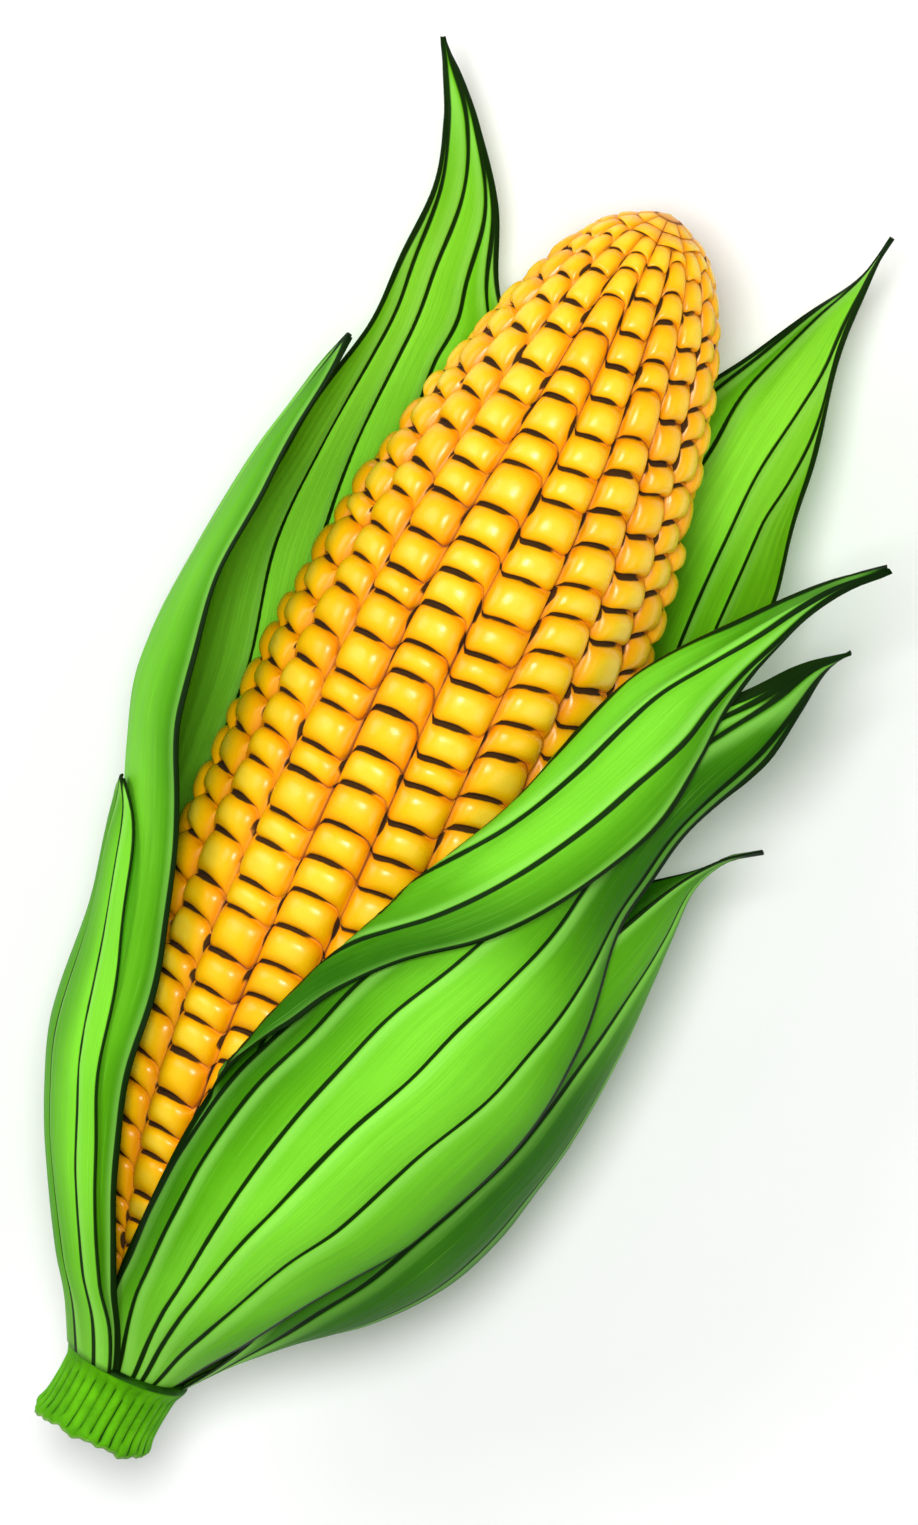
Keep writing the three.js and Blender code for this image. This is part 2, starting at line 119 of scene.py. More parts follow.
FOLDED_LEAF = [
    (0.4, 40, 6.4, -16, 0.4, 0, -40, 6.4), (7, 42, 10, -21, 0.4, 0, -37, 10),
    (13, 42, 13.6, -21, 0.5, 0, -32, 13.6), (19, 42, 17.4, -17, 0.6, 0, -26.5, 17.4),
    (26.7, 42, 21.6, -12.5, 0.8, 0, -21, 21.6), (38.7, 42, 25, -10.5, 1.2, 0, -17.5, 25.2),
    (46, 43, 26.8, -8.5, 1.6, 0.15, -14.5, 27.4),
    (52, 44, 27.7, -7.8, 1.8, 0.5, -10.6, 31), (57, 45, 28.3, -5.6, 1.9, 0.9, -6.8, 33.2),
    (63, 46, 28.8, -2.6, 1.9, 1, 0, 33.9), (70, 47, 29.2, 2.2, 1.9, 1, 6, 34.8),
    (78, 50, 29.6, 8.3, 1.9, 1, 17, 36.4), (85, 53, 29.8, 14.7, 1.9, 1, 30.4, 38.3),
    (94, 56, 29.9, 22.7, 1.9, 1, 42.6, 40.2), (103, 58, 29.7, 31.3, 1.9, 1, 51.6, 41.4),
    (110, 59, 29.5, 37.3, 1.9, 1, 56.5, 42.1), (119, 60, 29.8, 45, 1.8, 1, 60, 42.3),
    (126, 61, 31.8, 49.7, 1.6, 1, 60.5, 42.3), (132.6, 61.5, 35.4, 53.6, 1.4, 1, 61, 43.2),
    (138, 62, 38.8, 57, 1.1, 1, 61.5, 45), (144, 63, 43.2, 60, 0.8, 1, 62, 47.4),
    (150, 64.3, 48.4, 62.6, 0.5, 1, 63.6, 50.6), (154, 66.2, 53, 65.4, 0.3, 1, 65.6, 54),
]
UNROLLED_STRIP = 1.5      # beside the fold, lying straight on until the leaf rolls

# Cob radius at the kernels' crowns, by distance from the neck.

COB_PROFILE = [
    (4, 3.4), (8, 7.2), (12, 10.2), (18, 14.2), (30, 20.2), (37, 22.6), (50, 25.2), (70, 26.6),
    (90, 26.8), (112, 26), (128, 24.3), (144, 21.3), (157, 18.1), (168, 14.4), (175, 10.8),
    (179.6, 6.8), (182, 2.4),
]

# Veins of each leaf. A row: distance from the neck, then each vein's share of the way from the left
# margin to the right, or on the folded leaf from its free margin to its inner one.

VEINS = {
    "husk_front_right": [
        (0, 0.3, 0.46, 0.55, 0.68), (17, 0.16, 0.37, 0.47, 0.67), (35, 0.11, 0.29, 0.42, 0.64),
        (52, 0.09, 0.26, 0.42, 0.66), (65, 0.09, 0.25, 0.46, 0.74), (80, 0.1, 0.32, 0.54, 0.85),
        (93, 0.12, 0.36, 0.61, 0.93), (121, 0.14, 0.3, 0.47, 0.9), (140, 0.14, 0.26, 0.36, 0.9),
    ],
    "husk_folded": [
        (0, 0.21, 0.43, 0.64, 0.83), (85, 0.21, 0.42, 0.64, 0.83), (110, 0.22, 0.45, 0.64, 0.83),
        (123, 0.13, 0.45, 0.66, 0.84), (137, 0.07, 0.28, 0.6, 0.82), (154, 0.07, 0.2, 0.6, 0.82),
    ],
    "husk_back_left": [
        (0, 0.12, 0.25, 0.38, 0.5), (92, 0.15, 0.3, 0.44, 0.57), (115, 0.18, 0.36, 0.53, 0.68),
        (130, 0.21, 0.42, 0.62, 0.76), (146, 0.25, 0.52, 0.71, 0.85), (155, 0.16, 0.38, 0.67, 0.85),
        (169, 0.08, 0.18, 0.54, 0.89), (183, 0.05, 0.12, 0.3, 0.93), (190, 0.05, 0.12, 0.28, 0.93),
    ],
    "husk_back_right": [
        (0, 0.28, 0.41, 0.66, 0.85), (128, 0.28, 0.41, 0.66, 0.85), (145, 0.25, 0.39, 0.66, 0.87),
        (153, 0.15, 0.36, 0.67, 0.89), (163, 0.06, 0.27, 0.77, 0.92), (172, 0.05, 0.14, 0.79, 0.93),
        (190, 0.05, 0.12, 0.8, 0.93),
    ],
    "husk_outer_left": [
        (0, 0.28, 0.56, 0.82), (35, 0.3, 0.6, 0.88), (50, 0.3, 0.58, 0.85), (68, 0.28, 0.55, 0.82),
        (80, 0.28, 0.55, 0.8),
    ],
    "husk_outer_right": [
        (0, 0.1, 0.3, 0.52, 0.74), (36, 0.12, 0.32, 0.54, 0.76), (64, 0.19, 0.38, 0.58, 0.78),
        (80, 0.25, 0.44, 0.62, 0.8), (92, 0.34, 0.52, 0.68, 0.84), (105, 0.36, 0.54, 0.7, 0.85),
    ],
    "husk_front_left": [
        (0, 0.16, 0.32, 0.48, 0.64), (149, 0.16, 0.32, 0.48, 0.64),
    ],
    "husk_underside": [
        (0, 0.18, 0.39, 0.61, 0.82), (138, 0.18, 0.39, 0.61, 0.82),
    ],
}

# The dark crease along the top of the fold: distance, and share of the way across the folded leaf.
# Below 0 it lies outside the leaf, which has no crease there.

FOLD_CREASE = [
    (0, -0.2), (48, -0.06), (54, 0.05), (61, 0.13), (67, 0.18), (74, 0.24), (81, 0.33), (87, 0.425),
    (94, 0.485), (101, 0.54), (107, 0.585), (114, 0.625), (121, 0.655), (141, 0.67), (154, 0.6),
]

# Lightness of each leaf's green, 0 to 1, partly its own tone and partly painted light and shade: darker
# near the margins and where shadow falls under the flap and beside the cob, lighter where a leaf lies in
# shadow. Places across the leaf, then rows of a distance and the lightness at each place.

SHADES = {
    "husk_front_right": ((0, 0.15, 0.4, 0.8, 1), [
        (0, 0.3, 0.5, 0.7, 0.6, 0.4), (25, 0, 0.4, 0.97, 0.7, 0.4), (50, 0, 0.35, 1, 0.68, 0.3),
        (65, 0, 0.35, 1, 0.72, 0.25), (78, 0, 0.4, 0.92, 0.62, 0.15), (90, 0, 0.35, 0.45, 0.2, 0.05),
        (104, 0, 0.1, 0.1, 0.03, 0), (113, 0.15, 0.15, 0.1, 0.05, 0), (122, 0.8, 0.75, 0.35, 0.1, 0),
        (131, 0.9, 0.85, 0.4, 0.12, 0.05), (140, 0.6, 0.6, 0.35, 0.1, 0.1),
    ]),
    "husk_folded": ((0, 0.12, 0.3, 0.5, 1), [
        (0, 0.2, 0.2, 0.2, 0.2, 0.3), (66, 0, 0, 0.05, 0.1, 0.2), (78, 0, 0.05, 0.25, 0.1, 0.2),
        (87, 0.1, 0.2, 0.45, 0.35, 0.3), (96, 0.25, 0.42, 0.85, 0.55, 0.4),
        (113, 0.2, 0.4, 0.9, 0.8, 0.4), (125, 0.1, 0.35, 0.8, 0.75, 0.35),
        (138, 0.05, 0.5, 0.7, 0.35, 0.2), (147, 0, 0.1, 0.1, 0.05, 0.1), (154, 0, 0, 0, 0, 0),
    ]),
    "husk_back_left": ((0, 0.3, 0.6, 0.8, 1), [
        (0, 0.3, 0.5, 0.5, 0.4, 0.2), (90, 0.5, 0.8, 0.95, 0.75, 0.25), (120, 0.6, 0.95, 1, 0.9, 0.3),
        (150, 0.4, 0.55, 0.85, 0.95, 0.45), (168, 0.3, 0.6, 0.7, 0.6, 0.35),
        (190, 0.2, 0.3, 0.3, 0.2, 0.05),
    ]),
    "husk_back_right": ((0, 0.2, 0.5, 0.7, 1), [
        (0, 0.2, 0.4, 0.5, 0.5, 0.3), (120, 0.2, 0.35, 0.5, 0.5, 0.3), (136, 0.3, 0.5, 0.65, 0.75, 0.5),
        (145, 0.35, 0.75, 1, 0.9, 0.4), (160, 0.5, 0.85, 0.9, 0.45, 0), (172, 0.55, 0.8, 0.8, 0.35, 0),
        (181, 0.4, 0.6, 0.5, 0.25, 0.05), (190, 0.1, 0.1, 0.1, 0.05, 0),
    ]),
    "husk_outer_left": ((0, 0.5, 0.74, 0.87, 1), [
        (0, 0.3, 0.45, 0.65, 0.75, 0.75), (22, 0.2, 0.45, 0.7, 0.95, 0.9), (50, 0.2, 0.4, 0.6, 1, 0.95),
        (70, 0.2, 0.35, 0.6, 0.9, 0.9), (80, 0.3, 0.3, 0.4, 0.6, 0.7),
    ]),
    "husk_outer_right": ((0, 0.15, 0.3, 0.6, 1), [
        (0, 0.55, 0.5, 0.5, 0.5, 0.3), (18, 0.15, 0.12, 0.1, 0.35, 0.2),
        (40, 0.1, 0.05, 0.05, 0.4, 0.2), (62, 0.2, 0.1, 0.05, 0.4, 0.2), (74, 0.4, 0.4, 0.2, 0.35, 0.2),
        (90, 0.3, 0.4, 0.45, 0.25, 0.2), (105, 0.15, 0.15, 0.15, 0.15, 0.15),
    ]),
    "husk_front_left": ((0, 0.5, 0.84, 0.92, 1), [
        (0, 0.3, 0.5, 0.6, 0.5, 0.3), (40, 0.2, 0.55, 0.8, 0.65, 0.05), (75, 0.2, 0.5, 0.85, 0.6, 0.02),
        (100, 0.2, 0.5, 0.72, 0.52, 0.05), (125, 0.15, 0.4, 0.6, 0.45, 0.1),
        (149, 0.1, 0.15, 0.2, 0.15, 0.05),
    ]),
    "husk_underside": ((0, 0.3, 0.5, 0.7, 1), [
        (0, 0.5, 0.6, 0.6, 0.6, 0.5), (70, 0.25, 0.65, 0.75, 0.65, 0.25),
        (138, 0.15, 0.35, 0.35, 0.35, 0.15),
    ]),
}

# Leaf meshes and relief -------------------------

LEAF_ROW = 1.1            # mesh spacing along a leaf
LEAF_COLUMN = 0.55        # mesh spacing across a leaf at its widest
SECTION_SAMPLES = (48, 24, 48)   # flap, fold and inner side of the folded leaf, before resampling
LEAF_THICKNESS = 0.5
EDGE_THICKNESS = 0.24
EDGE_SHARPNESS = 6        # a leaf has its full thickness from 1/6 of its width inwards

NECK_LENGTH = 12          # over which a leaf's relief grows from nothing at its base
LOOSE_FROM = 34           # where a leaf has its full waves, which start from nothing at NECK_LENGTH
PANEL_SWELL = 0.34        # how far the panels between the veins swell
SWELL_ROOM = (2.5, 8)     # panel width up to which nothing swells, and from which it swells in full
VEIN_DEPTH = 0.22
VEIN_HALF_WIDTH = 0.5
VEIN_ROOM = (0.5, 2)      # panel width up to which veins aren't sunk, and from which they are in full
RIBS_PER_PANEL = 5
RIB_HEIGHT = 0.04
RIB_ROOM = (0.5, 1.2)     # the same for the fine ribs, by the width of one rib
WAVE_HEIGHT = 0.25
WAVE_LENGTH = 47
RIPPLE_HEIGHT = 0.3       # waves of the margins alone
RIPPLE_LENGTH = 23
WAVE_STEP = 0.37          # how far each leaf's waves are ahead of the last one's, in waves

# Leaf colours -----------------------------------
# Line widths and distances from a vein are in millimetres.

# A vein's dark line is painted shade in its sunk groove.
VEIN_LINE = (0.27, 0.46)  # a vein's dark line is solid up to the first, and gone at the second
CREASE_LINE = (0.35, 0.6)
MARGIN_BLUR = 0.3
LINE_WANDER = 0.4
LINE_STRENGTH = 0.98
# The pale streak is a painted highlight beside each vein.
HIGHLIGHT_STREAK = (0.3, 0.7, 2.4)    # where the pale streak beside a vein starts, is brightest and ends
FIBRES_PER_PANEL = 26
FIBRE_LENGTH = 20
FIBRE_RELIEF = 0.32
PALE_BASE = (2, 16)       # distance from the neck over which a leaf's pale base fades out

# Cob --------------------------------------------

KERNEL_ROWS = 18
KERNELS_IN_ROW = 37
KERNEL_CELLS = (12, 11)   # mesh cells around and along one kernel
GROOVE_PULL = 0.075       # how far mesh lines are drawn towards the grooves, in kernels
OUTLINE_SAMPLES = 400
KERNEL_HEIGHT = 2.6       # crown above the groove, at the widest part of the cob
KERNEL_STEEPNESS = 0.36   # the most that height may be of a row's width
PAIRED_STEEPNESS = 1.5    # times that, for kernels as wide as two rows
CROWN_ACROSS = (2.8, 0.55)   # a kernel's crown from side to side: how flat on top, how sharp at its foot
CROWN_ALONG = (3.0, 0.5)     # the same from end to end
KERNEL_ARCH = 0.85        # how far the middle of a kernel's ends bows towards the tip
STAGGER = 0.25            # of a kernel's length, one row towards the tip and the next away from it
UNEVEN_END = 0.17         # the most that a kernel's end strays, in kernels
UNEVEN_HEIGHT = 0.10      # and its height, as a share of it
MEETING_SHARE = 0.14      # of a kernel's width, over which its ends run into its neighbours'
PAIRED_FROM = 35          # from this kernel on, near the tip, two rows run together as one
ROW_WANDER = 1.3          # degrees that a row strays from a straight line along the cob
SLOW_WANDER = 21          # along the cob, for one radian of the slower wave
QUICK_WANDER = 12.5
TIP_RADIUS = 0.3          # of the least ring, at the tip and at the foot
TIP_RISE = 0.6            # the tip's middle above the last ring

# The dark seams' half widths, painted shade between the kernels, drawn at random between these, and
# the row widths between which they grow to that from nothing.
SIDE_SEAM = (-0.05, 0.55)
END_SEAM = (0.25, 0.58)
SEAM_ROOM = (1, 6)
NO_SEAM = 0.25            # how far below nothing a seam's half width goes where it has run out

# Stem -------------------------------------------

STEM_LENGTH = 10.5        # from the cut to the neck
STEM_RADIUS = 8.9
STEM_INSET = 0.35         # of the rind, for the flares to stand out from
CUT_FLARE = 0.5
SHOULDER_FLARE = 0.55
STEM_WAIST = 0.25
SHOULDER_RISE = 0.35      # of the rind's upper end above the neck
SHOULDER = ((9.0, 0.75), (8.4, 0.95), (6.5, 1.0))   # radius and distance of rings under the leaves
CORE_RADIUS = 4
CORE_TAPER = (0.1, -0.2)  # added to the core's radius at its foot and at its top
CORE_TOP = 3.7
STEM_RIBS = 32
SAMPLES_PER_RIB = 10
RIB_DEPTH = 0.42
RIB_STRENGTH = (0.6, 1)   # share of that depth, drawn for each rib
RIB_END = 0.08            # how unevenly ribs end, as a share of the stem's length
RIND_RINGS = 34
CUT_RINGS = 14
CUT_INSET = 0.6           # of the cut face's rim
CUT_DISH = 0.7            # how deep the cut face is dished
CUT_BUMPS = 0.12
RAGGED_WAVES = ((3, 0.22), (7, 0.2), (13, 0.16), (29, 0.1))   # number and height, around the cut


# Geometry shared by the pieces ------------------

TINY = 1e-9


def smoothstep(low, high, value):
    t = np.clip((np.asarray(value, float) - low) / (high - low), 0, 1)
    return t * t * (3 - 2 * t)


def smooth_through(stations, distances):
    """Values at these distances on a cubic through the stations, with matched slopes."""
    rows = np.array(stations, float)
    place, values = rows[:, 0], rows[:, 1:]
    slopes = np.empty_like(values)
    slopes[1:-1] = (values[2:] - values[:-2]) / (place[2:] - place[:-2])[:, None]
    slopes[0] = (values[1] - values[0]) / (place[1] - place[0])
    slopes[-1] = (values[-1] - values[-2]) / (place[-1] - place[-2])
    distances = np.atleast_1d(np.asarray(distances, float))
    k = np.clip(np.searchsorted(place, distances, side="right") - 1, 0, len(place) - 2)
    span = (place[k + 1] - place[k])[:, None]
    t = np.clip((distances - place[k])[:, None] / span, 0, 1)
    return (
        (2 * t**3 - 3 * t**2 + 1) * values[k]
        + (t**3 - 2 * t**2 + t) * span * slopes[k]
        + (3 * t**2 - 2 * t**3) * values[k + 1]
        + (t**3 - t**2) * span * slopes[k + 1]
    )


def ear_points(angles, radii, distances):
    """Points at polar places around the ear's axis. Angles in degrees, arrays of one shape."""
    turn = np.radians(angles)
    lean = NECK_LEAN * np.maximum(0, 1 - distances / LEAN_END) ** 2
    x = radii * np.sin(turn) - lean
    z = AXIS_HEIGHT + radii * np.cos(turn)
    return np.stack([x, distances - NECK_TO_ORIGIN, z], axis=-1)


def axis_point(distance):
    return ear_points(np.zeros(1), np.zeros(1), np.full(1, float(distance)))


def grid_normals(grid):
    """Unit normals of a grid of points, on the side from which rows run up and columns to the right."""
    along = np.gradient(grid, axis=0)
    around = np.gradient(grid, axis=1)
    normals = np.cross(around, along)
    return normals / np.maximum(np.linalg.norm(normals, axis=-1, keepdims=True), TINY)


def grid_faces(rows, columns, first=0, closed=False):
    """Quads of a grid whose points are numbered row by row."""
    across = columns if closed else columns - 1
    i, j = np.meshgrid(np.arange(rows - 1), np.arange(across), indexing="ij")
    right = (j + 1) % columns
    corners = (i * columns + j, i * columns + right, (i + 1) * columns + right, (i + 1) * columns + j)
    return np.stack(corners, -1).reshape(-1, 4) + first


def capped_tube(rings, low, high):
    """Points and faces of a tube of rings, closed at each end around a middle point."""
    rows, columns = rings.shape[:2]
    faces = grid_faces(rows, columns, closed=True).tolist()
    count = rows * columns
    last_ring = count - columns
    for j in range(columns):
        right = (j + 1) % columns
        faces.append([right, j, count])
        faces.append([last_ring + j, last_ring + right, count + 1])
    return np.concatenate([rings.reshape(-1, 3), low, high]), faces


def add_piece(name, points, faces, attributes, material, node, flat_from=None):
    """A mesh object from points in millimetres, standing for one CAD node."""
    mesh = bpy.data.meshes.new(name)
    mesh.from_pydata((np.asarray(points) * MM).tolist(), [], [list(map(int, face)) for face in faces])
    for key, values in attributes.items():
        layer = mesh.attributes.new(key, "FLOAT", "POINT")
        layer.data.foreach_set("value", np.asarray(values, np.float32).ravel())
    smooth = np.ones(len(faces), bool)
    if flat_from is not None:
        smooth[flat_from:] = False
    mesh.polygons.foreach_set("use_smooth", smooth)
    mesh.materials.append(material)
    mesh.update()
    piece = bpy.data.objects.new(name, mesh)
    bpy.context.scene.collection.objects.link(piece)
    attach(piece, "root")
    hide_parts(node)
    return piece


# Material helpers -------------------------------

class Shader:
    """Short calls for a material's nodes."""

    def __init__(self, name):
        self.material = bpy.data.materials.new(name)
        self.material.use_nodes = True
        self.nodes = self.material.node_tree.nodes
        self.links = self.material.node_tree.links
        self.surface = self.nodes["Principled BSDF"]

    def put(self, socket, value):
        if isinstance(value, bpy.types.NodeSocket):
            self.links.new(value, socket)
        else:
            socket.default_value = value

    def attribute(self, name):
        node = self.nodes.new("ShaderNodeAttribute")
        node.attribute_name = name
        return node.outputs["Fac"]

    def math(self, operation, first, second=0.0):
        node = self.nodes.new("ShaderNodeMath")
        node.operation = operation
        self.put(node.inputs[0], first)
        self.put(node.inputs[1], second)
        return node.outputs[0]

    def spread(self, value, amount):
        """A value around a half, brought to lie around 0 and scaled by the amount."""
        return self.math("MULTIPLY", self.math("SUBTRACT", value, 0.5), amount)

    def between(self, value, low, high, start=0.0, end=1.0):
        """start where value is low, end where it is high, smooth between."""
        node = self.nodes.new("ShaderNodeMapRange")
        node.interpolation_type = "SMOOTHSTEP"
        self.put(node.inputs["Value"], value)
        for socket, number in zip(("From Min", "From Max", "To Min", "To Max"), (low, high, start, end)):
            node.inputs[socket].default_value = number
        return node.outputs["Result"]

    def mix(self, factor, first, second, blend="MIX"):
        node = self.nodes.new("ShaderNodeMix")
        node.data_type = "RGBA"
        node.blend_type = blend
        self.put(node.inputs["Factor"], factor)
        self.put(node.inputs["A"], first)
        self.put(node.inputs["B"], second)
        return node.outputs["Result"]

    def ramp(self, value, stops):
        """Colours by value. The stops are places and colours: the two ends, then those between."""
        node = self.nodes.new("ShaderNodeValToRGB")
        elements = node.color_ramp.elements
        for k, (place, color) in enumerate(stops):
            element = elements[k] if k < 2 else elements.new(place)
            element.position = place
            element.color = color
        self.put(node.inputs["Fac"], value)
        return node.outputs["Color"]

    def vector(self, x, y, z):
        node = self.nodes.new("ShaderNodeCombineXYZ")
        for socket, value in zip(node.inputs, (x, y, z)):
            self.put(socket, value)
        return node.outputs[0]

    def noise(self, scale, detail=2.0, roughness=0.5, vector=None):
        node = self.nodes.new("ShaderNodeTexNoise")
        node.inputs["Scale"].default_value = scale
        node.inputs["Detail"].default_value = detail
        node.inputs["Roughness"].default_value = roughness
        if vector is None:
            vector = self.nodes.new("ShaderNodeTexCoord").outputs["Object"]
        self.put(node.inputs["Vector"], vector)
        return node.outputs["Fac"]

    def bump(self, height, distance, strength=1.0):
        node = self.nodes.new("ShaderNodeBump")
        node.inputs["Distance"].default_value = distance
        node.inputs["Strength"].default_value = strength
        self.put(node.inputs["Height"], height)
        return node.outputs["Normal"]


def rgba(red, green, blue):
    return (red, green, blue, 1.0)


# Leaves -----------------------------------------

# A leaf's green where it is darkest, halfway and lightest. The inner leaves are paler, partly painted light
# for where they lie in shadow between the cob and the outer leaves.
OUTER_GREENS = (rgba(0.022, 0.140, 0.0), rgba(0.105, 0.420, 0.006), rgba(0.235, 0.770, 0.034))
INNER_GREENS = (rgba(0.040, 0.230, 0.0), rgba(0.170, 0.600, 0.010), rgba(0.330, 0.950, 0.050))
PALE_LEAVES = ("husk_back_left", "husk_back_right")
# Near-black lines: painted shade in the sunk veins, and the dark margins and fold crease.
VEIN_SHADE_AND_EDGE_DARK = rgba(0.002, 0.014, 0.0)
# Pale green of the leaf's fibres and of the painted highlight beside each vein.
PALE_FIBRE_AND_HIGHLIGHT = rgba(0.36, 0.86, 0.14)
FIBRE_SHADE = rgba(0.55, 0.72, 0.4)
BASE_PALE = rgba(0.26, 0.62, 0.08)

# Each leaf: side of the painted highlight beside its veins, which way its panels swell (-1 towards the
# cob), the width of its dark margin, and its slot.
LEAF_LOOKS = {
    "husk_front_right": (1, 1, 0.95, "husk_outer"),
    "husk_outer_right": (1, 1, 0.8, "husk_outer"),
    "husk_front_left": (-1, 1, 1.05, "husk_outer"),
    "husk_outer_left": (1, 1, 0.6, "husk_outer"),
    "husk_underside": (1, 1, 0.8, "husk_outer"),
    "husk_back_left": (1, -1, 0.95, "husk_inner"),
    "husk_back_right": (-1, -1, 0.95, "husk_inner"),
    "husk_folded": (1, 1, 1.05, "husk_inner"),
}


def leaf_lines(s, nearest_vein, uneven, panels, margin_width, creased):
    """The leaf's dark lines, 0 to 1: its veins, painted shade in their grooves, its margins and the crease
    of a fold.
    """
    line = s.between(s.math("ADD", nearest_vein, uneven), *VEIN_LINE, 1, 0)
    panel = s.attribute("panel")
    panels_away = s.math("MINIMUM", panel, s.math("SUBTRACT", float(panels), panel))
    to_margin = s.math("ADD", s.math("MULTIPLY", panels_away, s.attribute("room")), uneven)
    margin = s.between(to_margin, margin_width - MARGIN_BLUR, margin_width, 1, 0)
    line = s.math("MAXIMUM", line, margin)
    if creased:
        to_crease = s.math("ADD", s.math("ABSOLUTE", s.attribute("from_crease")), uneven)
        line = s.math("MAXIMUM", line, s.between(to_crease, *CREASE_LINE, 1, 0))
    return line


def painted_highlight(s, from_vein):
    """The painted highlight along one side of each vein, fainter where the leaf is dark."""
    start, brightest, end = HIGHLIGHT_STREAK
    rise = s.between(from_vein, start, brightest)
    fall = s.between(from_vein, brightest, end, 1, 0)
    strength = s.between(s.attribute("light"), 0.0, 0.3, 0.2, 0.45)
    return s.math("MULTIPLY", s.math("MULTIPLY", rise, fall), strength)


def leaf_material(name, greens, panels, highlight_side, margin_width, creased):
    """Green husk with dark lengthwise veins of painted shade, a painted highlight beside each, and fine
    fibres.
    """
    s = Shader(name)
    panel = s.attribute("panel")
    room = s.attribute("room")
    along = s.attribute("along")
    wander = s.noise(55, 3)
    phase = s.math("FRACT", panel)
    if highlight_side < 0:
        phase = s.math("SUBTRACT", 1.0, phase)
    from_vein = s.math("MULTIPLY", phase, room)
    to_vein = s.math("MULTIPLY", s.math("SUBTRACT", 1.0, phase), room)
    nearest = s.math("MINIMUM", from_vein, to_vein)
    line = leaf_lines(s, nearest, s.spread(wander, LINE_WANDER), panels, margin_width, creased)
    across_fibres = s.math("MULTIPLY", panel, float(FIBRES_PER_PANEL))
    fibre = s.noise(1.0, 4, 0.65, s.vector(across_fibres, s.math("MULTIPLY", along, 1 / FIBRE_LENGTH), 0.0))
    light = s.math("ADD", s.attribute("light"), s.spread(wander, 0.3))
    green = s.ramp(light, [(0.0, greens[0]), (1.0, greens[2]), (0.5, greens[1])])
    green = s.mix(s.between(fibre, 0.35, 0.65, 0.28, 0.0), green, FIBRE_SHADE, "MULTIPLY")
    green = s.mix(s.between(fibre, 0.55, 0.75, 0.0, 0.16), green, PALE_FIBRE_AND_HIGHLIGHT)
    green = s.mix(painted_highlight(s, from_vein), green, PALE_FIBRE_AND_HIGHLIGHT)
    green = s.mix(s.between(along, *PALE_BASE, 0.3, 0.0), green, BASE_PALE)
    green = s.mix(s.math("MULTIPLY", line, LINE_STRENGTH), green, VEIN_SHADE_AND_EDGE_DARK)
    s.put(s.surface.inputs["Base Color"], green)
    s.put(s.surface.inputs["Roughness"], s.between(fibre, 0.3, 0.7, 0.45, 0.6))
    s.surface.inputs["Specular IOR Level"].default_value = 0.06
    height = s.math("ADD", s.math("MULTIPLY", fibre, 0.6), s.math("MULTIPLY", line, -0.6))
    s.put(s.surface.inputs["Normal"], s.bump(height, FIBRE_RELIEF * MM, 0.55))
    return s.material


def vein_panels(name, across, distance, width):
    """Panel number of each point, whole at veins, and the panels' local width in millimetres."""
    shares = smooth_through(VEINS[name], distance[:, 0])
    count = shares.shape[1]
    edges = np.concatenate([np.zeros((len(shares), 1)), shares, np.ones((len(shares), 1))], axis=1)
    panel = np.array([np.interp(t, edge, np.arange(count + 2)) for t, edge in zip(across, edges)])
    widths = np.diff(edges, axis=1) * width[:, :1]
    middles = np.arange(count + 1) + 0.5
    room = np.array([np.interp(place, middles, row) for place, row in zip(panel, widths)])
    return panel, room


def leaf_lightness(name, across, distance):
    places, stations = SHADES[name]
    rows = smooth_through(stations, distance[:, 0])
    return np.array([
        smooth_through(list(zip(places, row)), t)[:, 0] for t, row in zip(across, rows)
    ])


def leaf_relief(across, distance, panel, room, phase):
    """How far a leaf's surface stands out: soft panels between sunk veins, fine ribs and slow waves."""
    fraction = panel - np.floor(panel)
    to_vein = np.minimum(fraction, 1 - fraction) * room
    inside = smoothstep(0, 0.6, np.minimum(panel, panel.max() - panel))
    swell = PANEL_SWELL * np.sin(np.pi * fraction) ** 0.8 * smoothstep(*SWELL_ROOM, room)
    sunk = -VEIN_DEPTH * np.exp(-((to_vein / VEIN_HALF_WIDTH) ** 2)) * inside * smoothstep(*VEIN_ROOM, room)
    rib_room = smoothstep(*RIB_ROOM, room / RIBS_PER_PANEL)
    ribs = RIB_HEIGHT * np.cos(2 * np.pi * panel * RIBS_PER_PANEL) * rib_room
    wave = WAVE_HEIGHT * np.sin(2 * np.pi * (distance / WAVE_LENGTH + across * 0.7 + phase))
    margin = np.abs(2 * across - 1) ** 5
    ripple = RIPPLE_HEIGHT * margin * np.sin(2 * np.pi * (distance / RIPPLE_LENGTH + phase * 3.1))
    grown = smoothstep(2, NECK_LENGTH, distance)
    loose = smoothstep(NECK_LENGTH, LOOSE_FROM, distance)
    return grown * (swell + sunk + ribs) + loose * (wave + ripple)


